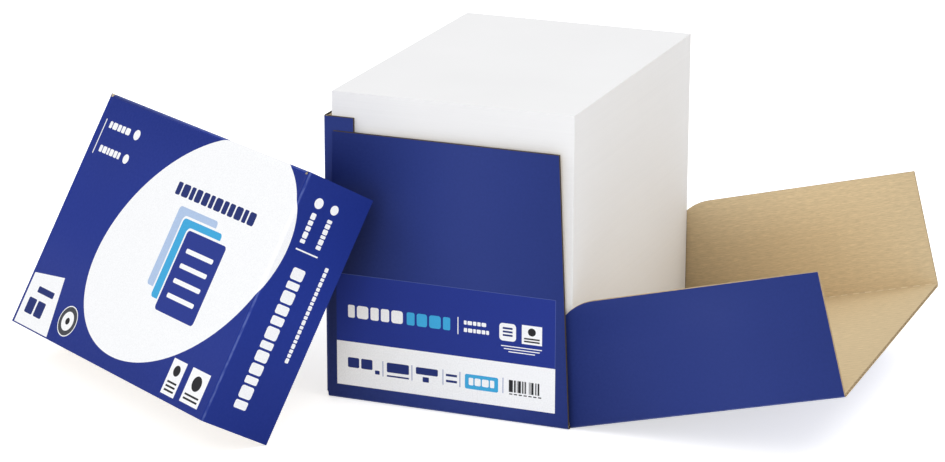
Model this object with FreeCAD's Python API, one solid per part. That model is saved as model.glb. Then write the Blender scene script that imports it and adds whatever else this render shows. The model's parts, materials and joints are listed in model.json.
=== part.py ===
"""An opened carton of loose A4 sheets, with its near end folded down and its lid taken off.

Lengths are millimetres. X runs along the front wall, towards the end that folds down, Y runs
from the front wall to the back wall, and Z is up. The origin is the middle of the sheets'
outline, on the ground under the carton's floor.
"""
import FreeCAD, Part
import math
import os

# The sheets, lying flat in one pile
sheet_width = 210.0
sheet_length = 297.0
sheet_count = 2500
sheet_thickness = 0.1038

# Corrugated board: a fold keeps its inner edge sharp and carries the outer face round it
board = 3.0

# Room between the pile and the board, at the fixed end and at the end that folds down
end_gap = 3.4
crease_gap = 0.4
flap_gap = 0.5
slot_gap = 0.5

# Walls of the carton, measured up from the ground
end_wall_height = 241.8
side_wall_height = 230.6
side_wall_inset = 3.6
side_wall_taper = 6.3
open_edge_taper = 10.3
open_edge_setback = 0.3
strip_width = 26.7
cut_gap = 0.5

# The end that folds down: one wall with a flap along each side
hinge_gap = 0.15
drop_length = 235.0
drop_flap_depth = 101.0
drop_flap_round = 45.0
drop_flap_setback = 0.2
drop_angle = 14.35

# The lid: a top with three walls, open along its lower long side, leaning on the carton
lid_length = 307.0
lid_width = 214.0
lid_depth = 69.0
lid_tab_width = 25.0
lid_tab_gap = 4.0
lid_lean = 29.8
lid_turn = 31.4
lid_past_corner = 59.9
lid_rest_gap = 0.7

# The label pasted on the front wall
label_thickness = 0.15
label_width = 193.0
label_height = 97.0
label_inset = 8.4
label_lift = 13.0

# Faces that the pieces share
stack_height = sheet_count * sheet_thickness
end_inner_x = sheet_width / 2 + end_gap
end_outer_x = end_inner_x + board
flap_inner_y = sheet_length / 2 + flap_gap
flap_outer_y = flap_inner_y + board
side_inner_y = flap_outer_y + slot_gap
side_outer_y = side_inner_y + board
hinge_x = sheet_width / 2 + crease_gap
hinge_z = board

X = FreeCAD.Vector(1, 0, 0)
Y = FreeCAD.Vector(0, 1, 0)
Z = FreeCAD.Vector(0, 0, 1)


def slab(low, high):
    """A flat panel or block between its lowest and highest corners."""
    size = [b - a for a, b in zip(low, high)]
    return Part.makeBox(*size, FreeCAD.Vector(*low))


def cut_panel(edges, depth):
    """A panel cut to an outline and pushed through the board's thickness."""
    return Part.Face(Part.Wire(edges)).extrude(depth)


def outline(points):
    """Straight edges joining the points in order."""
    return [Part.LineSegment(a, b).toShape() for a, b in zip(points, points[1:])]


def fold(corner, side_a, side_b, run):
    """The board where it turns a right angle: a quarter round about the inner edge."""
    start = corner + side_a * board
    middle = corner + (side_a + side_b) * (board / math.sqrt(2))
    end = corner + side_b * board
    edges = outline([end, corner, start])
    edges.append(Part.Arc(start, middle, end).toShape())
    return cut_panel(edges, run)


def one_piece(pieces):
    """Panels and folds of one sheet of board, joined into one solid."""
    solid = pieces[0].multiFuse(pieces[1:]).removeSplitter()
    return solid.Solids[0] if len(solid.Solids) == 1 else solid


def paper_stack():
    """The loose sheets, squared up and standing on the carton's floor."""
    half_x = sheet_width / 2
    half_y = sheet_length / 2
    return slab((-half_x, -half_y, board), (half_x, half_y, board + stack_height))


def side_wall_left_x(height):
    """The left upright edge of the front and back walls, inset, and leaning in as it rises."""
    lean = side_wall_taper * (height - board) / (side_wall_height - board)
    return -end_outer_x + side_wall_inset + lean


def side_wall_right_x(height):
    """The right upright edge, which leans in from just short of the end that folds down."""
    lean = open_edge_taper * (height - board) / (side_wall_height - board)
    return hinge_x - open_edge_setback - lean


def side_wall(outward):
    """The front wall (outward = -1) or the back wall (1), with its fold up from the floor."""
    inner_y = outward * side_inner_y
    corners = [(side_wall_left_x(board), board), (side_wall_right_x(board), board),
               (side_wall_right_x(side_wall_height), side_wall_height),
               (side_wall_left_x(side_wall_height), side_wall_height)]
    corners = [FreeCAD.Vector(x, inner_y, z) for x, z in corners]
    wall = cut_panel(outline(corners + corners[:1]), Y * (outward * board))
    foot = X * (side_wall_right_x(board) - side_wall_left_x(board))
    return [wall, fold(corners[0], Y * outward, -Z, foot)]


def corner_strip(outward):
    """The narrow flap of the fixed end wall, tucked behind the front or back wall."""
    inner_y = outward * flap_inner_y
    foot_z = board + cut_gap
    rise = end_wall_height - foot_z
    corner = FreeCAD.Vector(-end_inner_x, inner_y, foot_z)
    panel_x = X * (strip_width - board)
    edges = outline([corner, corner + panel_x, corner + panel_x + Y * (outward * board),
                     corner + Y * (outward * board), corner])
    return [cut_panel(edges, Z * rise), fold(corner, -X, Y * outward, Z * rise)]


def carton():
    """The folded carton: floor, front and back walls and the fixed end wall with its strips."""
    floor = slab((-end_inner_x, -side_inner_y, 0), (hinge_x - hinge_gap, side_inner_y, board))
    end_wall = slab((-end_outer_x, -flap_inner_y, board), (-end_inner_x, flap_inner_y, end_wall_height))
    end_fold = fold(FreeCAD.Vector(-end_inner_x, -flap_inner_y, board), -X, -Z, Y * (2 * flap_inner_y))
    pieces = [floor, end_wall, end_fold]
    for outward in (-1, 1):
        pieces += side_wall(outward) + corner_strip(outward)
    return one_piece(pieces)


def drop_flap(outward):
    """A side flap of the end that folds down, rounded where it swings past the carton."""
    near_x = hinge_x + drop_flap_setback
    far_x = hinge_x + drop_length
    radius = min(drop_flap_round, drop_flap_depth - board, far_x - near_x - board)
    top_z = board + drop_flap_depth
    corner = FreeCAD.Vector(near_x, outward * flap_inner_y, board)
    far_foot = FreeCAD.Vector(far_x, corner.y, board)
    far_top = FreeCAD.Vector(far_x, corner.y, top_z)
    arc_top = FreeCAD.Vector(near_x + radius, corner.y, top_z)
    arc_foot = FreeCAD.Vector(near_x, corner.y, top_z - radius)
    slope = radius * (1 - math.sqrt(0.5))
    arc_middle = FreeCAD.Vector(near_x + slope, corner.y, top_z - slope)
    edges = outline([arc_foot, corner, far_foot, far_top, arc_top])
    edges.append(Part.Arc(arc_top, arc_middle, arc_foot).toShape())
    wall = cut_panel(edges, Y * (outward * board))
    return [wall, fold(corner, Y * outward, -Z, X * (far_x - near_x))]


def end_flap():
    """The end that folds down, turned about its crease to where it rests off the ground."""
    wall = slab((hinge_x + hinge_gap, -flap_inner_y, 0), (hinge_x + drop_length, flap_inner_y, board))
    flap = one_piece([wall] + drop_flap(-1) + drop_flap(1))
    flap.rotate(FreeCAD.Vector(hinge_x, 0, hinge_z), -Y, drop_angle)
    return flap


def lid_wall(end_x, inward):
    """A short wall of the lid, with its fold from the top and the tab pasted inside it."""
    inner_x = end_x + inward * board
    corner = FreeCAD.Vector(inner_x, board, 0)
    depth = lid_depth - board
    edges = outline([corner, corner + Y * depth, corner + Y * depth - X * (inward * board),
                     corner - X * (inward * board), corner])
    wall = cut_panel(edges, Z * lid_width)
    wall_fold = fold(corner, -X * inward, -Y, Z * lid_width)
    tab_fold_corner = FreeCAD.Vector(inner_x + inward * board, board + lid_tab_gap, lid_width - board)
    tab_depth = depth - 2 * lid_tab_gap
    tab_end = tab_fold_corner - Z * (lid_tab_width - board)
    tab_edges = outline([tab_end, tab_end - X * (inward * board),
                         tab_fold_corner - X * (inward * board), tab_fold_corner, tab_end])
    tab = cut_panel(tab_edges, Y * tab_depth)
    return [wall, wall_fold, tab, fold(tab_fold_corner, -X * inward, Z, Y * tab_depth)]


def lid_upright():
    """The lid stood on its open side: its top faces -Y and its walls run back along +Y."""
    tab_inner = 2 * board
    top = slab((board, 0, 0), (lid_length - board, board, lid_width - board))
    long_wall = slab((tab_inner, board, lid_width - board), (lid_length - tab_inner, lid_depth, lid_width))
    corner = FreeCAD.Vector(tab_inner, board, lid_width - board)
    long_fold = fold(corner, -Y, Z, X * (lid_length - 2 * tab_inner))
    return one_piece([top, long_wall, long_fold] + lid_wall(0, 1) + lid_wall(lid_length, -1))


def lid():
    """The lid leant back on its short walls, its long wall against the carton's front corner."""
    solid = lid_upright()
    solid.rotate(FreeCAD.Vector(0, lid_depth, 0), X, -lid_lean)
    solid.rotate(FreeCAD.Vector(0, 0, 0), Z, -lid_turn)
    lean = math.radians(lid_lean)
    turn = FreeCAD.Rotation(Z, -lid_turn)
    touch_height = lid_width * math.cos(lean)
    touch_on_lid = FreeCAD.Vector(lid_length - lid_past_corner, lid_depth + lid_width * math.sin(lean), 0)
    touch_on_carton = FreeCAD.Vector(side_wall_left_x(touch_height), -side_outer_y, 0)
    gap = turn.multVec(Y) * lid_rest_gap
    solid.translate(touch_on_carton - gap - turn.multVec(touch_on_lid))
    return solid


def front_label():
    """The paper label, pasted on the front wall."""
    left = side_wall_left_x(board) + label_inset
    low = (left, -side_outer_y - label_thickness, label_lift)
    high = (left + label_width, -side_outer_y, label_lift + label_height)
    return slab(low, high)


os.makedirs("parts", exist_ok=True)
for make_piece in (paper_stack, carton, end_flap, lid, front_label):
    make_piece().exportStep(f"parts/{make_piece.__name__}.step")
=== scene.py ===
"""The looks of an opened carton of copy paper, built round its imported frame.

The carton holds 2500 loose sheets. Its near end is folded down and its lid leans at the left.
Everything is in metres. X runs along the front wall, Y from the front wall to the back, Z is up.
"""
import json
import math

import bmesh
import bpy
from mathutils import Matrix, Vector


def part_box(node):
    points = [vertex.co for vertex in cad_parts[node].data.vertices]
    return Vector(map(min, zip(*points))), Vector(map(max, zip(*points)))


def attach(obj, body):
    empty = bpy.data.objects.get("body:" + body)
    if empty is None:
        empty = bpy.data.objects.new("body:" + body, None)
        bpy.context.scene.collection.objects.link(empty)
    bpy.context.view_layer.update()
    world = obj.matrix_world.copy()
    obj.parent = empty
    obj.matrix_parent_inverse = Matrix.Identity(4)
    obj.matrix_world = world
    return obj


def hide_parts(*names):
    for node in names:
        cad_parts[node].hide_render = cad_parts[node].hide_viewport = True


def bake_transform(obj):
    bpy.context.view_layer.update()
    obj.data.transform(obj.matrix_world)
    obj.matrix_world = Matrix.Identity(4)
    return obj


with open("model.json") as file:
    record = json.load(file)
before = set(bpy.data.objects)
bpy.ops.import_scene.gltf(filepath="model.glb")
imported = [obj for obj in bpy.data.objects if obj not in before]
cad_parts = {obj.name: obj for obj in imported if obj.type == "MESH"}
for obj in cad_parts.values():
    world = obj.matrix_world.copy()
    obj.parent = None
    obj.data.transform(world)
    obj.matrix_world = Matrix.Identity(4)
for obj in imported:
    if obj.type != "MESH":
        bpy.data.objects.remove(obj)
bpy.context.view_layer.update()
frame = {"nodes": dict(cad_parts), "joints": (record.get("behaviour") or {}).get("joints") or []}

# The pile: 2500 sheets of A4 copy paper, cut clean at the mill and squared up, loose in the carton.
# Every sheet is a slab of its own, and each lies a few hundredths of a millimetre off true.
MM = 0.001
SHEET_COUNT = 2500
SHEET_THICKNESS = 0.1 * MM
SHEET_STRAY = 0.02 * MM
SHEET_SEED = 7
PAPER_WHITE = (241, 241, 242)


def colour(shade):
    """A shade given as red, green and blue from 0 to 255, as the linear colour that a shader takes."""
    parts = [c / 255 for c in shade]
    return [c / 12.92 if c <= 0.04045 else ((c + 0.055) / 1.055) ** 2.4 for c in parts] + [1.0]


def add_node(tree, kind, inputs=(), **settings):
    """A node with its settings made, and its sockets joined to other nodes or given plain values."""
    made = tree.nodes.new(kind)
    for name, value in settings.items():
        setattr(made, name, value)
    sockets = [s for s in made.inputs if s.enabled]
    for key, value in inputs.items() if isinstance(inputs, dict) else enumerate(inputs):
        socket = sockets[key] if isinstance(key, int) else next(s for s in sockets if s.name == key)
        if isinstance(value, bpy.types.Node):
            value = next(s for s in value.outputs if s.enabled)
        if isinstance(value, bpy.types.NodeSocket):
            tree.links.new(value, socket)
        elif value is not None:
            socket.default_value = value
    return made


def math_node(tree, operation, *values):
    return add_node(tree, "ShaderNodeMath", values, operation=operation)


def vector_node(tree, operation, *values):
    return add_node(tree, "ShaderNodeVectorMath", values, operation=operation)


def start_tree(name, sizes):
    """A Geometry Nodes tree with a named input for each size. Returns the tree and its inputs."""
    tree = bpy.data.node_groups.new(name, "GeometryNodeTree")
    tree.interface.new_socket("Geometry", in_out="OUTPUT", socket_type="NodeSocketGeometry")
    tree.interface.new_socket("Geometry", in_out="INPUT", socket_type="NodeSocketGeometry")
    for label, kind in sizes.items():
        tree.interface.new_socket(label, in_out="INPUT", socket_type="NodeSocket" + kind)
    return tree, tree.nodes.new("NodeGroupInput").outputs


def end_tree(tree, geometry, paper):
    """Closes a tree with what every tree ends in: real geometry, in one finish."""
    real = add_node(tree, "GeometryNodeRealizeInstances", [geometry])
    finished = add_node(tree, "GeometryNodeSetMaterial", {"Geometry": real, "Material": paper})
    add_node(tree, "NodeGroupOutput", [finished])


def new_piece(name, mesh):
    piece = bpy.data.objects.new(name, mesh)
    bpy.context.scene.collection.objects.link(piece)
    return piece


def grow(name, tree, sizes, start=None, place=Matrix()):
    """Runs a tree on a starting mesh, and keeps what it makes as a plain piece at the origin."""
    source = new_piece(name + "_start", start or bpy.data.meshes.new(name + "_start"))
    modifier = source.modifiers.new("Grow", "NODES")
    modifier.node_group = tree
    for item in tree.interface.items_tree:
        if item.in_out == "INPUT" and item.name in sizes:
            modifier[item.identifier] = sizes[item.name]
    depsgraph = bpy.context.evaluated_depsgraph_get()
    evaluated = source.evaluated_get(depsgraph)
    mesh = bpy.data.meshes.new_from_object(evaluated, preserve_all_data_layers=True, depsgraph=depsgraph)
    bpy.data.objects.remove(source)
    mesh.name = name
    mesh.transform(place)
    return new_piece(name, mesh)


def sheet_pile_tree():
    """Sheets instanced up a line of points, each moved a little sideways."""
    tree, given = start_tree("sheet_pile", {
        "Sheet Size": "Vector", "Pitch": "Float", "Count": "Int", "Stray": "Float",
        "Foot": "Vector", "Seed": "Int", "Paper": "Material"})
    step = add_node(tree, "ShaderNodeCombineXYZ", [0.0, 0.0, given["Pitch"]])
    line = add_node(tree, "GeometryNodeMeshLine", [given["Count"], given["Foot"], step])
    low = math_node(tree, "MULTIPLY", given["Stray"], -1.0)
    lows = add_node(tree, "ShaderNodeCombineXYZ", [low, low, 0.0])
    highs = add_node(tree, "ShaderNodeCombineXYZ", [given["Stray"], given["Stray"], 0.0])
    stray = add_node(tree, "FunctionNodeRandomValue", {"Min": lows, "Max": highs, "Seed": given["Seed"]},
                     data_type="FLOAT_VECTOR")
    moved = add_node(tree, "GeometryNodeSetPosition", {"Geometry": line, "Offset": stray})
    sheet = add_node(tree, "GeometryNodeMeshCube", [given["Sheet Size"]])
    pile = add_node(tree, "GeometryNodeInstanceOnPoints", {"Points": moved, "Instance": sheet})
    end_tree(tree, pile, given["Paper"])
    return tree


def start_material(name):
    """A material with its nodes cleared. Returns its tree and its principled shader."""
    material = bpy.data.materials.new(name)
    material.use_nodes = True
    tree = material.node_tree
    tree.nodes.clear()
    shader = tree.nodes.new("ShaderNodeBsdfPrincipled")
    add_node(tree, "ShaderNodeOutputMaterial", [shader])
    return material, tree, shader


def noise(tree, where, scale, detail=2.0, roughness=0.5):
    return add_node(tree, "ShaderNodeTexNoise",
                    {"Vector": where, "Scale": scale, "Detail": detail, "Roughness": roughness}).outputs[0]


def between(tree, value, low, high, start=0.0, end=1.0):
    """Carries a value from one range to another, held at the ends."""
    return add_node(tree, "ShaderNodeMapRange", [value, low, high, start, end])


def mix_colours(tree, share, first, second, blend="MIX"):
    node = tree.nodes.new("ShaderNodeMix")
    node.data_type = "RGBA"
    node.blend_type = blend
    for socket, value in zip((node.inputs[0], node.inputs[6], node.inputs[7]), (share, first, second)):
        if isinstance(value, bpy.types.Node):
            value = next(s for s in value.outputs if s.enabled)
        if isinstance(value, bpy.types.NodeSocket):
            tree.links.new(value, socket)
        else:
            socket.default_value = value
    return node.outputs[2]


def bump(tree, shader, height, distance, strength=1.0):
    made = add_node(tree, "ShaderNodeBump", {"Strength": strength, "Distance": distance, "Height": height})
    tree.links.new(made.outputs[0], shader.inputs["Normal"])


def copy_paper():
    """Bright uncoated paper. The sheets' cut edges read as faint level lines up the pile's sides."""
    material, tree, shader = start_material("copy_paper")
    place = add_node(tree, "ShaderNodeTexCoord").outputs["Object"]
    level = vector_node(tree, "MULTIPLY", place, (6.0, 6.0, 1500.0))
    lines = noise(tree, level, 1.0, detail=3.0)
    cloud = noise(tree, place, 9.0)
    fine = math_node(tree, "MULTIPLY", lines, 0.6)
    broad = math_node(tree, "MULTIPLY", cloud, 0.4)
    both = math_node(tree, "ADD", fine, broad)
    darker = [c * 0.982 for c in PAPER_WHITE]
    shade = mix_colours(tree, between(tree, both, 0.3, 0.7), colour(darker), colour(PAPER_WHITE))
    tree.links.new(shade, shader.inputs["Base Color"])
    fibres = noise(tree, place, 2600.0)
    bump(tree, shader, fibres, 0.02 * MM, 0.4)
    shader.inputs["Roughness"].default_value = 0.85
    shader.inputs["Specular IOR Level"].default_value = 0.15
    return material


stack_low, stack_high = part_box("paper_stack")
pile_height = stack_high.z - stack_low.z
paper_sheets = grow("paper_sheets", sheet_pile_tree(), {
    "Sheet Size": (stack_high.x - stack_low.x, stack_high.y - stack_low.y, SHEET_THICKNESS),
    "Pitch": (pile_height - SHEET_THICKNESS) / (SHEET_COUNT - 1), "Count": SHEET_COUNT,
    "Stray": SHEET_STRAY, "Foot": (0.0, 0.0, stack_low.z + SHEET_THICKNESS / 2),
    "Seed": SHEET_SEED, "Paper": copy_paper()})
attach(paper_sheets, "carton")
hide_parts("paper_stack")

# The carton is one blank of single-wall corrugated board, creased and folded up round the pile.
# Three papers are glued together: a printed liner outside, a fluted paper between, and a kraft liner
# inside. The flutes run along the front wall, and they are crushed flat at every crease.
BOARD = 3.0 * MM
LINER = 0.32 * MM
FLUTING = 0.22 * MM
FLUTE_PITCH = 6.5 * MM
FLUTE_STEP = 0.65 * MM
CRUSH = 4.0 * MM
SEAM = 0.05 * MM
FOLD_STEPS = 12
SLOT_GAP = 0.5 * MM
SIDE_HEIGHT = 230.6 * MM
SIDE_INSET = 3.6 * MM
SIDE_TAPER = 6.3 * MM
OPEN_EDGE_TAPER = 10.3 * MM
OPEN_EDGE_SETBACK = 0.3 * MM
STRIP_REACH = 23.7 * MM
STRIP_FOOT = BOARD + 0.5 * MM
HINGE_GAP = 0.15 * MM
BOARD_BLUE = (42, 58, 128)
KRAFT = (223, 200, 160)
# The cut edges of the walls and the lid are darker than the board's own kraft: painted shade of the flutes'
# hollows.
EDGE_PAINTED_SHADE = (104, 95, 88)
# The fluting and the liners' hidden sides are a dark grey-brown: painted shade inside the board, seen
# through the flutes at a cut edge.
FLUTING_PAINTED_SHADE = (86, 77, 68)
PALE_CORE = (200, 178, 142)
# Light dashes on the creases: scored marks, painted lighter as a highlight.
CREASE_DASH_HIGHLIGHT = (250, 236, 206)
WORN_BLUE = (92, 106, 164)
STREAK_SCALE = (130.0, 1400.0, 1.0)
FLECK_SCALE = (350.0, 1500.0, 1.0)
RUB_SCALE = (140.0, 900.0, 1.0)
DASH_PITCH = 11.0 * MM
X, Y, Z = Matrix.Identity(3)

carton_low, carton_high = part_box("carton")
END_OUTER_X = -carton_low.x
END_INNER_X = END_OUTER_X - BOARD
SIDE_OUTER_Y = carton_high.y
SIDE_INNER_Y = SIDE_OUTER_Y - BOARD
FLAP_INNER_Y = SIDE_INNER_Y - SLOT_GAP - BOARD
END_HEIGHT = carton_high.z
end_fold = next(joint for joint in frame["joints"] if joint["name"] == "end_fold")
HINGE = Vector(end_fold["pos_m"])


def flat(start, end, outward, run, fold_at_start=False, fold_at_end=False, cuts=()):
    """Stations along a flat panel, from one edge of its inner face to the other.

    A station is its place in the board's middle, the way out, where the board begins and ends along
    the flutes, how open the flutes are, and how near it is to the back of a fold.
    """
    length = (end - start).length
    first = SEAM / length if fold_at_start else 0.0
    last = 1.0 - SEAM / length if fold_at_end else 1.0
    shares = {first, last, *cuts}
    if fold_at_start:
        shares.add(CRUSH / length)
    if fold_at_end:
        shares.add(1.0 - CRUSH / length)
    stations = []
    for share in sorted(shares):
        inner = start.lerp(end, share)
        crushed = (fold_at_start and share == first) or (fold_at_end and share == last)
        low, high = run(inner)
        stations.append((inner + outward * (BOARD / 2), outward, low, high, 0.0 if crushed else 1.0, 0.0))
    return stations


def turn(corner, before, after, run):
    """Stations round a fold: a quarter circle about the edge that the inner faces share."""
    stations = []
    for step in range(FOLD_STEPS + 1):
        angle = math.pi / 2 * step / FOLD_STEPS
        outward = before * math.cos(angle) + after * math.sin(angle)
        stations.append((corner + outward * (BOARD / 2), outward, *run, 0.0, math.sin(2 * angle)))
    return stations


def section_mesh(name, lines):
    """The lines of stations as wires. Each line is given with the direction of its flutes."""
    stations = [station for _, line in lines for station in line]
    axes = [axis for axis, line in lines for _ in line]
    edges = []
    first = 0
    for _, line in lines:
        edges += [(first + i, first + i + 1) for i in range(len(line) - 1)]
        first += len(line)
    mesh = bpy.data.meshes.new(name)
    mesh.from_pydata([s[0] for s in stations], edges, [])
    for key, values in (("outward", [s[1] for s in stations]), ("flute_axis", axes)):
        attribute = mesh.attributes.new(key, "FLOAT_VECTOR", "POINT")
        attribute.data.foreach_set("vector", [part for value in values for part in value])
    for column, key in enumerate(("run_from", "run_to", "fluted", "ridge"), start=2):
        attribute = mesh.attributes.new(key, "FLOAT", "POINT")
        attribute.data.foreach_set("value", [s[column] for s in stations])
    return mesh


def board_paper_tree():
    """One paper of the board: it follows the section at its own depth, as a wave if it is the fluting."""
    tree, given = start_tree("board_paper", {
        "Depth": "Float", "Flute Height": "Float", "Flute Pitch": "Float", "Step": "Float",
        "Thickness": "Float", "Edge": "Material", "Paper": "Material", "Print": "Material"})

    def known(name, kind="FLOAT"):
        return add_node(tree, "GeometryNodeInputNamedAttribute", [name], data_type=kind)

    def keep(geometry, name, value):
        return add_node(tree, "GeometryNodeStoreNamedAttribute",
                        {"Geometry": geometry, "Name": name, "Value": value},
                        data_type="FLOAT", domain="POINT")

    outward = known("outward", "FLOAT_VECTOR")
    axis = known("flute_axis", "FLOAT_VECTOR")
    position = add_node(tree, "GeometryNodeInputPosition")
    length = add_node(tree, "GeometryNodeSplineParameter").outputs["Length"]
    line = add_node(tree, "GeometryNodeMeshToCurve", [given["Geometry"]])
    close = add_node(tree, "GeometryNodeResampleCurve",
                     {"Curve": line, "Length": given["Step"]}, mode="LENGTH")
    waved = add_node(tree, "FunctionNodeCompare", [given["Flute Height"], 0.0], operation="GREATER_THAN")
    path = add_node(tree, "GeometryNodeSwitch", [waved, line, close], input_type="GEOMETRY")
    measured = keep(path, "across", length)
    turns = math_node(tree, "MULTIPLY", math_node(tree, "DIVIDE", length, given["Flute Pitch"]), math.tau)
    wave = math_node(tree, "MULTIPLY", math_node(tree, "SINE", turns), known("fluted"))
    rise = math_node(tree, "MULTIPLY", wave, math_node(tree, "MULTIPLY", given["Flute Height"], 0.5))
    offset = vector_node(tree, "SCALE", outward)
    tree.links.new(math_node(tree, "ADD", rise, given["Depth"]).outputs[0], offset.inputs["Scale"])
    moved = add_node(tree, "GeometryNodeSetPosition", {"Geometry": measured, "Offset": offset})
    tangent = add_node(tree, "GeometryNodeInputTangent")
    level = vector_node(tree, "CROSS_PRODUCT", tangent, outward)
    normal = vector_node(tree, "CROSS_PRODUCT", level, tangent)
    held = add_node(tree, "GeometryNodeSetCurveNormal", {"Curve": moved, "Normal": normal}, mode="FREE")
    slip = add_node(tree, "GeometryNodeCurvePrimitiveQuadrilateral",
                    {"Width": given["Thickness"], "Height": 1.0})
    solid = add_node(tree, "GeometryNodeCurveToMesh",
                     {"Curve": held, "Profile Curve": slip, "Fill Caps": True})
    side = vector_node(tree, "DOT_PRODUCT", position, axis).outputs["Value"]
    far = add_node(tree, "FunctionNodeCompare", [side, 0.0], operation="GREATER_THAN")
    target = add_node(tree, "GeometryNodeSwitch",
                      [far, known("run_from"), known("run_to")], input_type="FLOAT")
    reach = vector_node(tree, "SCALE", axis)
    tree.links.new(math_node(tree, "SUBTRACT", target, side).outputs[0], reach.inputs["Scale"])
    cut = add_node(tree, "GeometryNodeSetPosition", {"Geometry": solid, "Offset": reach})
    cut = keep(cut, "along", side)
    face_normal = add_node(tree, "GeometryNodeInputNormal")
    facing = vector_node(tree, "DOT_PRODUCT", face_normal, outward).outputs["Value"]
    real = add_node(tree, "GeometryNodeRealizeInstances", [cut])
    finished = add_node(tree, "GeometryNodeSetMaterial", {"Geometry": real, "Material": given["Edge"]})
    for comparison, limit, paper in (("LESS_THAN", -0.7, "Paper"), ("GREATER_THAN", 0.7, "Print")):
        chosen = add_node(tree, "FunctionNodeCompare", [facing, limit], operation=comparison)
        finished = add_node(tree, "GeometryNodeSetMaterial",
                            {"Geometry": finished, "Selection": chosen, "Material": given[paper]})
    add_node(tree, "NodeGroupOutput", [finished])
    return tree


def board_place(tree):
    """Where a point lies on the flat blank: metres along the flutes and across them."""
    along = add_node(tree, "ShaderNodeAttribute", attribute_name="along").outputs["Fac"]
    across = add_node(tree, "ShaderNodeAttribute", attribute_name="across").outputs["Fac"]
    return along, across


def kraft_paper(name, shade):
    """Unprinted brown liner: long fibres and streaks along the flutes, with the flutes showing through."""
    material, tree, shader = start_material(name)
    along, across = board_place(tree)
    fluted = add_node(tree, "ShaderNodeAttribute", attribute_name="fluted").outputs["Fac"]
    place = add_node(tree, "ShaderNodeCombineXYZ", [along, across, 0.0])
    streaks = noise(tree, vector_node(tree, "MULTIPLY", place, STREAK_SCALE), 1.0, roughness=0.6)
    flecks = noise(tree, vector_node(tree, "MULTIPLY", place, FLECK_SCALE), 1.0, detail=3.0)
    clouds = noise(tree, place, 14.0, detail=3.0)
    lighter = colour([min(255, c * 1.03) for c in shade])
    darker = colour([c * 0.92 for c in shade])
    fleck = colour([c * 0.76 for c in shade])
    base = mix_colours(tree, between(tree, streaks, 0.34, 0.66), darker, lighter)
    base = mix_colours(tree, between(tree, clouds, 0.4, 0.9, 0.0, 0.3), base, darker)
    base = mix_colours(tree, between(tree, flecks, 0.64, 0.74, 0.0, 0.4), base, fleck)
    turns = math_node(tree, "MULTIPLY", across, math.tau / FLUTE_PITCH)
    ribs = math_node(tree, "MULTIPLY", math_node(tree, "SINE", turns), fluted)
    base = mix_colours(tree, between(tree, ribs, -1.0, 1.0, 0.0, 0.3), base, darker)
    # Light dashes near every crease: scored marks painted lighter, as a highlight where the crease catches
    # light.
    dash = math_node(tree, "SINE", math_node(tree, "MULTIPLY", along, math.tau / DASH_PITCH))
    dashes = between(tree, dash, -0.3, 0.1, 0.15, 0.8)
    crease_dash_highlight = math_node(tree, "MULTIPLY", between(tree, fluted, 0.16, 0.04), dashes)
    base = mix_colours(tree, crease_dash_highlight, base, colour(CREASE_DASH_HIGHLIGHT))
    tree.links.new(base, shader.inputs["Base Color"])
    height = math_node(tree, "MULTIPLY", math_node(tree, "ADD", streaks, ribs), 0.5)
    bump(tree, shader, height, 0.02 * MM, 0.5)
    shader.inputs["Roughness"].default_value = 0.85
    shader.inputs["Specular IOR Level"].default_value = 0.12
    return material


def printed_liner(name, shade, worn_shade):
    """White-faced liner under one flat printed ink, with soft mottling and a rubbed line on each fold."""
    material, tree, shader = start_material(name)
    along, across = board_place(tree)
    ridge = add_node(tree, "ShaderNodeAttribute", attribute_name="ridge").outputs["Fac"]
    place = add_node(tree, "ShaderNodeCombineXYZ", [along, across, 0.0])
    mottle = noise(tree, place, 420.0, detail=3.0)
    clouds = noise(tree, place, 7.0)
    darker = colour([c * 0.93 for c in shade])
    base = mix_colours(tree, between(tree, mottle, 0.3, 0.7, 0.0, 0.5), colour(shade), darker)
    base = mix_colours(tree, between(tree, clouds, 0.35, 0.7, 0.0, 0.6), base, darker)
    rub = noise(tree, vector_node(tree, "MULTIPLY", place, RUB_SCALE), 1.0, detail=4.0)
    patches = between(tree, rub, 0.38, 0.6, 0.25, 1.0)
    rubbed = math_node(tree, "MULTIPLY", between(tree, ridge, 0.72, 0.98), patches)
    base = mix_colours(tree, rubbed, base, colour(worn_shade))
    tree.links.new(base, shader.inputs["Base Color"])
    turns = math_node(tree, "SINE", math_node(tree, "MULTIPLY", across, math.tau / FLUTE_PITCH))
    ribs = math_node(tree, "MULTIPLY", turns, 0.3)
    height = math_node(tree, "ADD", ribs, math_node(tree, "MULTIPLY", mottle, 0.7))
    bump(tree, shader, height, 0.02 * MM, 0.5)
    tree.links.new(between(tree, mottle, 0.2, 0.8, 0.5, 0.62).outputs[0], shader.inputs["Roughness"])
    shader.inputs["Specular IOR Level"].default_value = 0.12
    return material


board_paper = board_paper_tree()
kraft_liner = kraft_paper("kraft_liner", KRAFT)
# Dark copies of the kraft for the cut edges and the core: painted shade in the flutes' hollows.
painted_shade_edge = kraft_paper("painted_shade_edge", EDGE_PAINTED_SHADE)
fluting_painted_shade = kraft_paper("fluting_painted_shade", FLUTING_PAINTED_SHADE)
pale_core = kraft_paper("pale_core", PALE_CORE)
blue_liner = printed_liner("blue_liner", BOARD_BLUE, WORN_BLUE)


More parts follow.
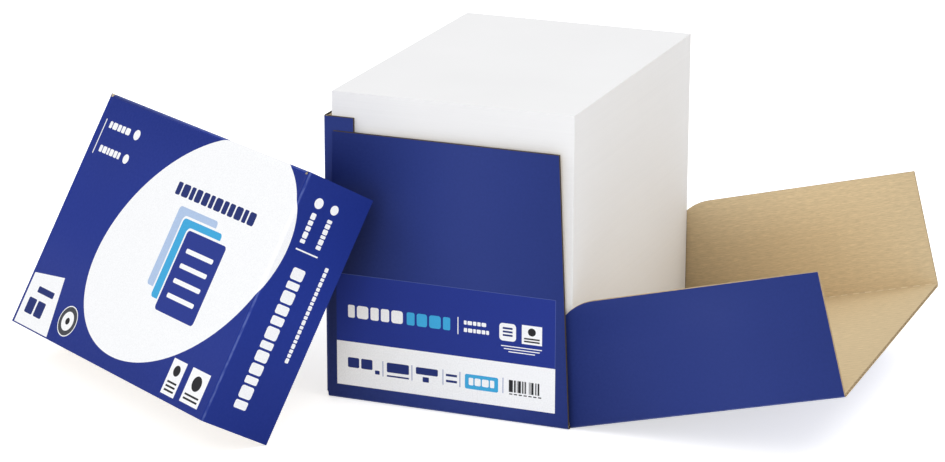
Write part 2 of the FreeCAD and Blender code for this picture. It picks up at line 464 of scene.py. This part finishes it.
def corrugated(node, body, lines, printed, place=Matrix(), edge=painted_shade_edge, core=fluting_painted_shade):
    """The three papers of one folded board, standing for a CAD node and riding on its body."""
    half = BOARD / 2
    # A liner's side that faces into the board takes the core's colour; with the walls' dark core that is
    # painted shade seen through the flutes.
    papers = {
        "outer_liner": {"Depth": half - LINER / 2, "Flute Height": 0.0, "Thickness": LINER,
                        "Edge": edge, "Paper": core, "Print": printed},
        "fluting": {"Depth": 0.0, "Flute Height": BOARD - 2 * LINER - FLUTING, "Thickness": FLUTING,
                    "Edge": core, "Paper": core, "Print": core},
        "inner_liner": {"Depth": LINER / 2 - half, "Flute Height": 0.0, "Thickness": LINER,
                        "Edge": edge, "Paper": kraft_liner, "Print": core}}
    for layer, sizes in papers.items():
        sizes |= {"Flute Pitch": FLUTE_PITCH, "Step": FLUTE_STEP}
        piece = grow(f"{node}_{layer}", board_paper, sizes, section_mesh(node, lines), place)
        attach(piece, body)
        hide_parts(node)


def wall_run(point):
    """Where the front and back walls begin and end at a height: both edges lean in as they rise."""
    rise = (point.z - BOARD) / (SIDE_HEIGHT - BOARD)
    left = SIDE_INSET + SIDE_TAPER * rise - END_OUTER_X
    return left, HINGE.x - OPEN_EDGE_SETBACK - OPEN_EDGE_TAPER * rise


def carton_lines():
    """Front wall, floor and back wall in one line, the end wall with its strips, and the end's fold."""
    floor_run = (-END_INNER_X, HINGE.x - HINGE_GAP)
    front = Vector((0.0, -SIDE_INNER_Y, BOARD))
    back = Vector((0.0, SIDE_INNER_Y, BOARD))
    rise = Z * (SIDE_HEIGHT - BOARD)
    body = flat(front + rise, front, -Y, wall_run, fold_at_end=True)
    body += turn(front, -Y, -Z, wall_run(front))
    body += flat(front, back, -Z, lambda point: floor_run, True, True)
    body += turn(back, -Z, Y, wall_run(back))
    body += flat(back, back + rise, Y, wall_run, fold_at_start=True)
    strip_run = (STRIP_FOOT, END_HEIGHT)
    near = Vector((-END_INNER_X, -FLAP_INNER_Y, 0.0))
    far = Vector((-END_INNER_X, FLAP_INNER_Y, 0.0))
    end = flat(near + X * STRIP_REACH, near, -Y, lambda point: strip_run, fold_at_end=True)
    end += turn(near, -Y, -X, strip_run)
    end += flat(near, far, -X, lambda point: (BOARD, END_HEIGHT), True, True)
    end += turn(far, -X, Y, strip_run)
    end += flat(far, far + X * STRIP_REACH, Y, lambda point: strip_run, fold_at_start=True)
    foot = turn(Vector((-END_INNER_X, 0.0, BOARD)), -Z, -X, (-FLAP_INNER_Y, FLAP_INNER_Y))
    return [(X, body), (Z, end), (Y, foot)]


corrugated("carton", "carton", carton_lines(), blue_liner)

# The end that folds down: the near end wall with a flap along each side, cut from the same blank.
# It turns about its crease at the floor's edge. The flaps are rounded where they swing past the walls,
# and its cut edges keep the board's own pale kraft, where those of the walls are painted dark as shade.
DROP_LENGTH = 235.0 * MM
DROP_FLAP_DEPTH = 101.0 * MM
DROP_FLAP_ROUND = 45.0 * MM
DROP_FLAP_SETBACK = 0.2 * MM
DROP_ANGLE = math.radians(14.35)
ROUND_STEPS = 16


def drop_lines():
    """Front flap, end wall and back flap in one line, as they lie before the end is turned up."""
    near_x = HINGE.x + DROP_FLAP_SETBACK
    far_x = HINGE.x + DROP_LENGTH
    top = BOARD + DROP_FLAP_DEPTH

    def flap_run(point):
        over = max(0.0, point.z - (top - DROP_FLAP_ROUND))
        inset = DROP_FLAP_ROUND - math.sqrt(max(0.0, DROP_FLAP_ROUND ** 2 - over ** 2))
        return near_x + inset, far_x

    front = Vector((0.0, -FLAP_INNER_Y, BOARD))
    back = Vector((0.0, FLAP_INNER_Y, BOARD))
    rise = Z * DROP_FLAP_DEPTH
    angles = [math.pi / 2 * step / ROUND_STEPS for step in range(ROUND_STEPS)]
    cuts = [1.0 - DROP_FLAP_ROUND * (1.0 - math.sin(angle)) / DROP_FLAP_DEPTH for angle in angles]
    line = flat(front + rise, front, -Y, flap_run, fold_at_end=True, cuts=[1.0 - cut for cut in cuts])
    line += turn(front, -Y, -Z, flap_run(front))
    line += flat(front, back, -Z, lambda point: (HINGE.x + HINGE_GAP, far_x), True, True)
    line += turn(back, -Z, Y, flap_run(back))
    line += flat(back, back + rise, Y, flap_run, fold_at_start=True, cuts=cuts)
    return [(X, line)]


about_hinge = Matrix.Translation(HINGE) @ Matrix.Rotation(-DROP_ANGLE, 4, "Y") @ Matrix.Translation(-HINGE)
corrugated("end_flap", "end_flap", drop_lines(), blue_liner, about_hinge, kraft_liner, pale_core)

# The crease of that end: the liners run on unbroken from the floor to the end wall, and bend there.
# The outer one goes round the back of the fold, and the inner one hinges on the fold's inner edge.
CREASE_STEPS = 6


def crease_strip(name, material, inner_radius, outer_radius):
    """A liner's strip across the crease, turned evenly from the floor's side to the end wall's."""
    edge = Y * FLAP_INNER_Y
    rings = []
    for step in range(-1, CREASE_STEPS + 2):
        angle = DROP_ANGLE * min(max(step, 0), CREASE_STEPS) / CREASE_STEPS
        down = Vector((math.sin(angle), 0.0, -math.cos(angle)))
        ahead = Vector((math.cos(angle), 0.0, math.sin(angle)))
        shift = -HINGE_GAP if step < 0 else HINGE_GAP if step > CREASE_STEPS else 0.0
        inner = HINGE + down * inner_radius + ahead * shift
        outer = HINGE + down * outer_radius + ahead * shift
        rings.append([inner - edge, outer - edge, outer + edge, inner + edge])
    shape = bmesh.new()
    rings = [[shape.verts.new(point) for point in ring] for ring in rings]
    for one, two in zip(rings, rings[1:]):
        for i in range(4):
            shape.faces.new((one[i], one[(i + 1) % 4], two[(i + 1) % 4], two[i]))
    shape.faces.new(rings[0][::-1])
    shape.faces.new(rings[-1])
    bmesh.ops.recalc_face_normals(shape, faces=shape.faces)
    mesh = bpy.data.meshes.new(name)
    shape.to_mesh(mesh)
    shape.free()
    mesh.materials.append(material)
    piece = new_piece(name, mesh)
    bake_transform(piece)


crease_strip("crease_outer_liner", blue_liner, BOARD - LINER, BOARD)
crease_strip("crease_inner_liner", kraft_liner, 0.0, LINER)

# The lid is a shallow cap of the same board: its top, two short walls and one long wall with a tab
# at each end pasted inside the short walls. It has been lifted off and leans on the carton's corner.
LID_LENGTH = 307.0 * MM
LID_WIDTH = 214.0 * MM
LID_DEPTH = 69.0 * MM
LID_TAB = 22.0 * MM
LID_TAB_GAP = 4.0 * MM
LID_LEAN = math.radians(29.8)
LID_TURN = math.radians(31.4)
LID_PAST_CORNER = 59.9 * MM
LID_REST_GAP = 0.7 * MM
LID_BLUE = (30, 51, 140)
WORN_LID_BLUE = (84, 100, 168)


def lid_frame():
    """The lid's own axes at rest: X along its length, Y from its top inwards, Z up its width."""
    along = Matrix.Rotation(-LID_TURN, 3, "Z") @ X
    level = Matrix.Rotation(-LID_TURN, 3, "Z") @ Y
    inward = level * math.cos(LID_LEAN) - Z * math.sin(LID_LEAN)
    up = level * math.sin(LID_LEAN) + Z * math.cos(LID_LEAN)
    touch_height = LID_WIDTH * math.cos(LID_LEAN)
    corner = Vector((wall_run(Z * touch_height)[0], -SIDE_OUTER_Y, 0.0)) - level * LID_REST_GAP
    origin = corner - along * (LID_LENGTH - LID_PAST_CORNER) - inward * LID_DEPTH
    origin -= level * (LID_WIDTH * math.sin(LID_LEAN))
    axes = Matrix((along, inward, up)).transposed().to_4x4()
    return Matrix.Translation(origin) @ axes


def lid_lines():
    """The short walls and the top in one line, the long wall with its tabs, and the fold between."""
    full = (0.0, LID_WIDTH)
    shelf = LID_WIDTH - BOARD
    left = Vector((BOARD, BOARD, 0.0))
    right = Vector((LID_LENGTH - BOARD, BOARD, 0.0))
    wall = Y * (LID_DEPTH - BOARD)
    cap = flat(left + wall, left, -X, lambda point: full, fold_at_end=True)
    cap += turn(left, -X, -Y, full)
    cap += flat(left, right, -Y, lambda point: (0.0, shelf), True, True)
    cap += turn(right, -Y, X, full)
    cap += flat(right, right + wall, X, lambda point: full, fold_at_start=True)
    tab_run = (BOARD + LID_TAB_GAP, LID_DEPTH - LID_TAB_GAP)
    one = Vector((2 * BOARD, 0.0, shelf))
    two = Vector((LID_LENGTH - 2 * BOARD, 0.0, shelf))
    back = flat(one - Z * LID_TAB, one, -X, lambda point: tab_run, fold_at_end=True)
    back += turn(one, -X, Z, tab_run)
    back += flat(one, two, Z, lambda point: (BOARD, LID_DEPTH), True, True)
    back += turn(two, Z, X, tab_run)
    back += flat(two, two - Z * LID_TAB, X, lambda point: tab_run, fold_at_start=True)
    edge = turn(Vector((0.0, BOARD, shelf)), -Y, Z, (2 * BOARD, LID_LENGTH - 2 * BOARD))
    return [(Z, cap), (Y, back), (X, edge)]


lid_place = lid_frame()
lid_liner = printed_liner("lid_liner", LID_BLUE, WORN_LID_BLUE)
corrugated("lid", "carton", lid_lines(), lid_liner, lid_place)

# The label is a sheet of white paper printed blue, pasted on the front wall. A white band along its
# foot carries plain bars, a light block and a bar strip, and the blue above it a row of tiles.
INK = 0.03 * MM
TILE_GAP = 0.2
TILE_ROUND = 0.22
LABEL_BLUE = (34, 52, 138)
PRINT_WHITE = (250, 251, 253)
LIGHT_BLUE = (64, 170, 222)
CUT_EDGE_BLUE = (84, 100, 164)
RULE_BLUE = (128, 140, 186)
DARK_INK = (34, 48, 112)
BLACK_INK = (38, 38, 42)


def ink(name, shade, roughness=0.5):
    """A flat printed ink on paper, with a little unevenness in how it took."""
    material, tree, shader = start_material(name)
    place = add_node(tree, "ShaderNodeTexCoord").outputs["Object"]
    grain = noise(tree, place, 900.0, detail=3.0)
    darker = colour([c * 0.955 for c in shade])
    base = mix_colours(tree, between(tree, grain, 0.3, 0.7), darker, colour(shade))
    tree.links.new(base, shader.inputs["Base Color"])
    bump(tree, shader, grain, 0.01 * MM, 0.4)
    shader.inputs["Roughness"].default_value = roughness
    shader.inputs["Specular IOR Level"].default_value = 0.12
    return material


def block(x1, y1, x2, y2, radius=0.0):
    """The outline of a box with round corners, in millimetres on the printed face."""
    if not radius:
        return [(x1, y1), (x2, y1), (x2, y2), (x1, y2)]
    points = []
    for quarter, (x, y) in enumerate(((x2, y2), (x1, y2), (x1, y1), (x2, y1))):
        x += -radius if x == x2 else radius
        y += -radius if y == y2 else radius
        for step in range(7):
            angle = math.pi / 2 * (quarter + step / 6)
            points.append((x + radius * math.cos(angle), y + radius * math.sin(angle)))
    return points


def tiles(x1, y1, x2, y2, count, upright=False):
    """A row of plain tiles of uneven widths, with round corners, along a line or up it."""
    low, high = (y1, y2) if upright else (x1, x2)
    gap = (high - low) / count * TILE_GAP
    widths = [1.0 + 0.28 * math.sin(2.4 * step + count) for step in range(count)]
    unit = (high - low - gap * (count - 1)) / sum(widths)
    outlines = []
    for width in widths:
        ends = (low, low + width * unit)
        low = ends[1] + gap
        tile = (x1, ends[0], x2, ends[1]) if upright else (ends[0], y1, ends[1], y2)
        outlines.append(block(*tile, width * unit * TILE_ROUND))
    return outlines


def disc(x, y, radius):
    """The outline of a round spot."""
    angles = [math.tau * step / 36 for step in range(36)]
    return [(x + radius * math.cos(angle), y + radius * math.sin(angle)) for angle in angles]


def printed(name, outlines, on_face, material, slot, layer=1, bends=()):
    """Ink laid on a face: each outline as a thin closed solid, one coat thick for each layer.

    Where the ink runs over a fold, bends gives the lines across it at which the ink turns.
    """
    shape = bmesh.new()
    for outline in outlines:
        shape.faces.new([shape.verts.new((x * MM, y * MM, 0.0)) for x, y in outline])
    for across, place in bends:
        everything = [*shape.verts, *shape.edges, *shape.faces]
        bmesh.ops.bisect_plane(shape, geom=everything, plane_co=across * place, plane_no=across)
    raised = bmesh.ops.extrude_face_region(shape, geom=list(shape.faces))["geom"]
    for vert in shape.verts:
        vert.co = on_face(vert.co.x, vert.co.y, INK * layer if vert in raised else 0.0)
    bmesh.ops.recalc_face_normals(shape, faces=shape.faces)
    mesh = bpy.data.meshes.new(name)
    shape.to_mesh(mesh)
    shape.free()
    mesh.materials.append(material)
    piece = new_piece(name, mesh)
    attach(piece, "carton")
    return piece


def bar_strip_tree():
    """Upright bars on an even pitch, some left out, so that they run together into thin and thick."""
    tree, given = start_tree("bar_strip", {
        "Bar Size": "Vector", "Pitch": "Float", "Count": "Int", "First": "Vector", "Seed": "Int",
        "Ink": "Material"})
    step = add_node(tree, "ShaderNodeCombineXYZ", [given["Pitch"], 0.0, 0.0])
    line = add_node(tree, "GeometryNodeMeshLine", [given["Count"], given["First"], step])
    drawn = add_node(tree, "FunctionNodeRandomValue", {"Probability": 0.52, "Seed": given["Seed"]},
                     data_type="BOOLEAN")
    bar = add_node(tree, "GeometryNodeMeshCube", [given["Bar Size"]])
    strip = add_node(tree, "GeometryNodeInstanceOnPoints",
                     {"Points": line, "Selection": drawn, "Instance": bar})
    end_tree(tree, strip, given["Ink"])
    return tree


label_low, label_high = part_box("front_label")
white_ink = ink("white_ink", PRINT_WHITE)
light_ink = ink("light_ink", LIGHT_BLUE)
dark_ink = ink("dark_ink", DARK_INK)
black_ink = ink("black_ink", BLACK_INK)
front_label = frame["nodes"]["front_label"]
front_label.data.materials.clear()
front_label.data.materials.append(ink("label_blue", LABEL_BLUE))


def on_label(x, z, height):
    """A place on the label's face: x along the front wall, z up it."""
    return Vector((x, label_low.y - height, z))


label_x1, label_x2 = label_low.x / MM, label_high.x / MM
label_z1, label_z2 = label_low.z / MM, label_high.z / MM
BAND_TOP = 51.3
CUT_EDGE = 0.35
band = block(label_x1, label_z1, label_x2, BAND_TOP)
title = tiles(-89.0, 72.5, -40.0, 83.5, 5)
side_rule = block(8.4, 70.3, 9.2, 85.0)
small_words = tiles(14.0, 79.4, 33.5, 82.8, 5) + tiles(14.0, 73.0, 36.0, 76.4, 6)
plain_mark = block(45.0, 70.0, 59.5, 85.0, 3.0)
square_mark = block(64.5, 69.3, 82.0, 85.5)
fine_lines = [block(46.5, 65.2, 82.0, 66.0), block(49.0, 62.9, 80.0, 63.7), block(53.0, 60.6, 76.0, 61.4)]
cut_edges = [block(label_x1, label_z2 - CUT_EDGE, label_x2, label_z2),
             block(label_x2 - CUT_EDGE, BAND_TOP, label_x2, label_z2)]
printed("label_white", [band, *title, side_rule, *small_words, plain_mark, square_mark, *fine_lines],
        on_label, white_ink, "label_paper")
printed("label_cut_edge", cut_edges, on_label, ink("cut_edge", CUT_EDGE_BLUE), "label_paper")
light_title = tiles(-36.5, 72.5, 2.0, 83.5, 4)
light_block = block(15.0, 24.2, 44.2, 37.0, 1.6)
printed("label_light", light_title, on_label, light_ink, "label_paper")
printed("label_light_block", [light_block], on_label, light_ink, "label_paper", 2)
weight = [block(-89.6, 28.8, -79.4, 37.6, 1.2), block(-77.6, 28.8, -67.4, 37.6, 1.2)]
weight += [block(-65.2, 25.6, -61.0, 29.0, 0.6)]
size = [block(-54.5, 28.9, -34.7, 37.4, 1.2), block(-54.5, 25.0, -34.7, 26.4)]
count = [block(-28.5, 30.9, -8.9, 37.0, 1.2), block(-22.5, 24.6, -16.9, 29.0, 0.6)]
words = [block(-1.8, 32.6, 8.0, 34.6), block(-1.8, 27.4, 8.0, 29.4)]
rules = [block(x - 0.35, 24.6, x + 0.35, 37.9) for x in (-58.0, -32.0, -4.4, 10.6, 48.4)]
printed("label_dark", [*weight, *size, *count, *words], on_label, dark_ink, "label_paper", 2)
printed("label_rules", rules, on_label, ink("rule_ink", RULE_BLUE), "label_paper", 2)
mark_bars = [block(48.0, y, 56.5, y + 1.6) for y in (74.0, 77.0, 80.0)]
printed("label_mark_bars", mark_bars, on_label, dark_ink, "label_paper", 2)
square_bars = [block(66.5, y, 80.0, y + 1.3) for y in (71.0, 73.4)] + [disc(73.2, 80.0, 3.4)]
printed("label_square_bars", square_bars, on_label, black_ink, "label_paper", 2)
number = tiles(18.4, 27.6, 40.8, 34.0, 4)
printed("label_block_bar", number, on_label, white_ink, "label_paper", 3)
BAR_PITCH = 0.5
BAR_COUNT = 56
bars = grow("label_bars", bar_strip_tree(), {
    "Bar Size": (BAR_PITCH * 1.02 * MM, INK, 10.4 * MM), "Pitch": BAR_PITCH * MM, "Count": BAR_COUNT,
    "First": (53.8 * MM, label_low.y - INK * 1.5, 31.6 * MM), "Seed": 11, "Ink": black_ink})
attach(bars, "carton")
figures = [block(53.8 + 4.2 * i, 24.2, 56.6 + 4.2 * i, 25.2) for i in range(7)]
printed("label_figures", figures, on_label, black_ink, "label_paper", 2)

# The lid's print: a broad white oval with a drawing of three sheets of paper, and small white
# fields at its foot. It is printed straight on the liner, over the blue, and the oval runs over two
# folds: on to the long wall at the top, and a little way on to the right short wall.
PAGE = (58.0, 70.0)
PAGE_RIM = 2.0
FAN = (12.0, -8.0)
PALE_PAGE = (178, 200, 232)
BLUE_PAGE = (38, 56, 142)
SEAL_GREY = (70, 72, 78)
SEAL_CENTRE = (80.0, 21.5)


def round_fold(run, height):
    """How far along and how far in a place is that lies a run past the start of a fold."""
    angle = min(max(run, 0.0) / BOARD, math.pi / 2)
    past = max(run - BOARD * math.pi / 2, 0.0)
    along = min(run, 0.0) + (BOARD + height) * math.sin(angle)
    sunk = BOARD - (BOARD + height) * math.cos(angle) + past
    return along, sunk


def on_lid_top(x, z, height):
    """A place on the lid's top: x along it, z up its width, and on round the folds."""
    along, sunk = round_fold(x - (LID_LENGTH - BOARD), height)
    up, deep = round_fold(z - (LID_WIDTH - BOARD), height)
    sunk = sunk if along > 0.0 else deep
    return lid_place @ Vector((LID_LENGTH - BOARD + along, sunk, LID_WIDTH - BOARD + up))


def on_lid_end(y, z, height):
    """A place on the lid's right short wall: y from the top's face, z up its width."""
    return lid_place @ Vector((LID_LENGTH + height, y, z))


def oval(x, y, half_width, half_height, lean, steps=120):
    """The outline of an oval that leans over to one side."""
    angles = [math.tau * step / steps for step in range(steps)]
    return [(x + half_width * math.cos(angle), y + half_height * math.sin(angle + lean)) for angle in angles]


field = oval(196.5, 117.5, 118.5, 105.4, 0.33)
fold_lines = [BOARD * math.pi / 2 * step / FOLD_STEPS for step in range(FOLD_STEPS + 1)]
field_bends = [(X, LID_LENGTH - BOARD + line) for line in fold_lines]
field_bends += [(Y, LID_WIDTH - BOARD + line) for line in fold_lines]
spec_field = [(5.2, 1.2), (60.5, 1.2), (50.5, 53.0), (5.2, 46.5)]
foot_fields = [block(240.5, 5.0, 260.0, 35.0), block(268.5, 6.0, 294.5, 35.0)]
top_rule = block(11.0, 160.0, 12.2, 192.0)
top_words = tiles(18.7, 185.4, 52.0, 191.4, 5) + tiles(18.7, 163.4, 52.0, 169.4, 6)
top_spots = [disc(63.0, 188.6, 4.6), disc(62.0, 166.2, 4.2)]
printed("lid_field", [field], on_lid_top, white_ink, "printed_board", bends=field_bends)
seal_field = disc(*SEAL_CENTRE, 13.5)
printed("lid_top_white", [spec_field, *foot_fields, top_rule, *top_words, *top_spots, seal_field],
        on_lid_top, white_ink, "printed_board")
end_title = tiles(22.5, 19.5, 35.5, 140.4, 12, True)
end_words = tiles(52.0, 67.0, 55.6, 149.6, 20, True)
end_words += tiles(17.4, 160.0, 22.4, 185.5, 5, True) + tiles(34.6, 160.0, 39.6, 185.5, 6, True)
end_spots = [disc(20.0, 194.0, 4.4), disc(37.0, 194.0, 4.0)]
printed("lid_end_white", [*end_title, *end_words, *end_spots, block(16.7, 153.6, 40.4, 154.8)],
        on_lid_end, white_ink, "printed_board")
pages = [(163.0 + FAN[0] * i, 79.0 + FAN[1] * i) for i in range(3)]
page_inks = (ink("pale_page", PALE_PAGE), light_ink, ink("blue_page", BLUE_PAGE))
for number, ((x, y), page_ink) in enumerate(zip(pages, page_inks)):
    rim = block(x - PAGE_RIM, y - PAGE_RIM, x + PAGE[0] + PAGE_RIM, y + PAGE[1] + PAGE_RIM, 5.0)
    printed(f"lid_page_rim_{number}", [rim], on_lid_top, white_ink, "printed_board", 2 + 2 * number)
    leaf = block(x, y, x + PAGE[0], y + PAGE[1], 3.5)
    printed(f"lid_page_{number}", [leaf], on_lid_top, page_ink, "printed_board", 3 + 2 * number)
x, y = pages[-1]
page_lines = [block(x + 9.0, y + 13.0 + 13.0 * i, x + 49.0, y + 17.0 + 13.0 * i, 1.4) for i in range(4)]
printed("lid_page_lines", page_lines, on_lid_top, white_ink, "printed_board", 8)
printed("lid_headline", tiles(148.0, 156.0, 265.0, 167.0, 12), on_lid_top, dark_ink, "printed_board", 2)
spec_bars = [block(20.0, 32.0, 46.0, 37.5, 1.0)]
spec_bars += [block(13.0, 12.0, 25.5, 26.0, 1.6), block(28.0, 12.0, 40.5, 26.0, 1.6)]
printed("lid_spec_bars", spec_bars, on_lid_top, dark_ink, "printed_board", 2)
seal_inks = (("lid_seal", 12.6, ink("seal_ink", SEAL_GREY)), ("lid_seal_middle", 8.4, white_ink),
             ("lid_seal_spot", 3.0, black_ink))
for layer, (name, radius, seal_ink) in enumerate(seal_inks, start=2):
    printed(name, [disc(*SEAL_CENTRE, radius)], on_lid_top, seal_ink, "printed_board", layer)
foot_bars = [block(243.5, y, 257.0, y + 1.6) for y in (8.0, 11.5, 15.0)] + [disc(250.2, 26.0, 4.6)]
foot_bars += [block(271.5, y, 291.5, y + 1.6) for y in (9.0, 12.5)] + [disc(281.5, 24.0, 6.4)]
printed("lid_foot_bars", foot_bars, on_lid_top, black_ink, "printed_board", 2)

# The floor is plain and white, and keeps the object's soft shadow. It and the world look white to
# the camera and in reflections without throwing more light on the object.
FLOOR_SIZE = 40.0
FLOOR_DROP = 0.2 * MM
FLOOR_LIFT = 0.6
FLOOR_GREY = (0.86, 0.86, 0.86, 1.0)
SKY = 1.0


def seen_directly(tree):
    """One for what the camera, a reflection or a see-through surface looks at, and else nought."""
    path = add_node(tree, "ShaderNodeLightPath")
    seen = math_node(tree, "MAXIMUM", path.outputs["Is Camera Ray"], path.outputs["Is Glossy Ray"])
    return math_node(tree, "MAXIMUM", seen, path.outputs["Is Transmission Ray"])


def floor_material():
    material = bpy.data.materials.new("pale_floor")
    material.use_nodes = True
    tree = material.node_tree
    tree.nodes.clear()
    matt = add_node(tree, "ShaderNodeBsdfDiffuse", {"Color": FLOOR_GREY})
    lift = math_node(tree, "MULTIPLY", seen_directly(tree), FLOOR_LIFT)
    glow = add_node(tree, "ShaderNodeEmission", {"Strength": lift})
    both = add_node(tree, "ShaderNodeAddShader", [matt, glow])
    add_node(tree, "ShaderNodeOutputMaterial", [both])
    return material


def white_world():
    world = bpy.data.worlds.new("studio")
    bpy.context.scene.world = world
    world.use_nodes = True
    tree = world.node_tree
    tree.nodes.clear()
    strength = math_node(tree, "MAXIMUM", seen_directly(tree), SKY)
    sky = add_node(tree, "ShaderNodeBackground", {"Strength": strength})
    add_node(tree, "ShaderNodeOutputWorld", [sky])


floor_mesh = bpy.data.meshes.new("floor")
half = FLOOR_SIZE / 2
floor_mesh.from_pydata([(-half, -half, -FLOOR_DROP), (half, -half, -FLOOR_DROP),
                        (half, half, -FLOOR_DROP), (-half, half, -FLOOR_DROP)], [], [(0, 1, 2, 3)])
floor_mesh.materials.append(floor_material())
floor = new_piece("floor", floor_mesh)
white_world()

# Three broad soft lamps, all weaker than the sky: one high on the left, one low in front, and one
# high over the end that is folded down.
LAMP_SIZE = 2.0
LAMP_AIM = Vector((0.0, 0.0, 0.1))


def soft_lamp(name, place, power):
    lamp = bpy.data.lights.new(name, "AREA")
    lamp.shape = "SQUARE"
    lamp.size = LAMP_SIZE
    lamp.energy = power
    holder = new_piece(name, lamp)
    holder.location = place
    holder.rotation_mode = "QUATERNION"
    holder.rotation_quaternion = (LAMP_AIM - Vector(place)).to_track_quat("-Z", "Y")


soft_lamp("left_lamp", (-2.8, -2.4, 3.2), 12.0)
soft_lamp("front_lamp", (0.5, -4.2, 0.8), 46.0)
soft_lamp("top_lamp", (2.2, 0.4, 4.0), 40.0)

# The camera stands where the photograph was taken from: to the right of the front, looking down.
CAMERA_AZIMUTH = math.radians(21.66)
CAMERA_ELEVATION = math.radians(17.21)
CAMERA_ROLL = math.radians(0.14)
CAMERA_SHIFT_RIGHT = -37.34 * MM
CAMERA_SHIFT_UP = 107.63 * MM
CAMERA_DISTANCE = 2777.66 * MM
CAMERA_REACH = 100.0
SENSOR_WIDTH = 36.0
FOCAL_PIXELS = 3205.95
PHOTO_WIDTH = 945

sa, ca = math.sin(CAMERA_AZIMUTH), math.cos(CAMERA_AZIMUTH)
se, ce = math.sin(CAMERA_ELEVATION), math.cos(CAMERA_ELEVATION)
right = Vector((ca, sa, 0.0))
back = Vector((sa * ce, -ca * ce, se))
level = Matrix((right, back.cross(right), back)).transposed()
turned = level @ Matrix.Rotation(CAMERA_ROLL, 3, "Z")
camera_data = bpy.data.cameras.new("camera")
camera_data.sensor_width = SENSOR_WIDTH
camera_data.lens = FOCAL_PIXELS * SENSOR_WIDTH / PHOTO_WIDTH
camera_data.clip_end = CAMERA_REACH
camera = new_piece("camera", camera_data)
offset = turned @ Vector((CAMERA_SHIFT_RIGHT, CAMERA_SHIFT_UP, 0.0))
camera.matrix_world = Matrix.Translation(back * CAMERA_DISTANCE + offset) @ turned.to_4x4()
bpy.context.scene.camera = camera
bpy.context.scene.view_settings.view_transform = "Standard"
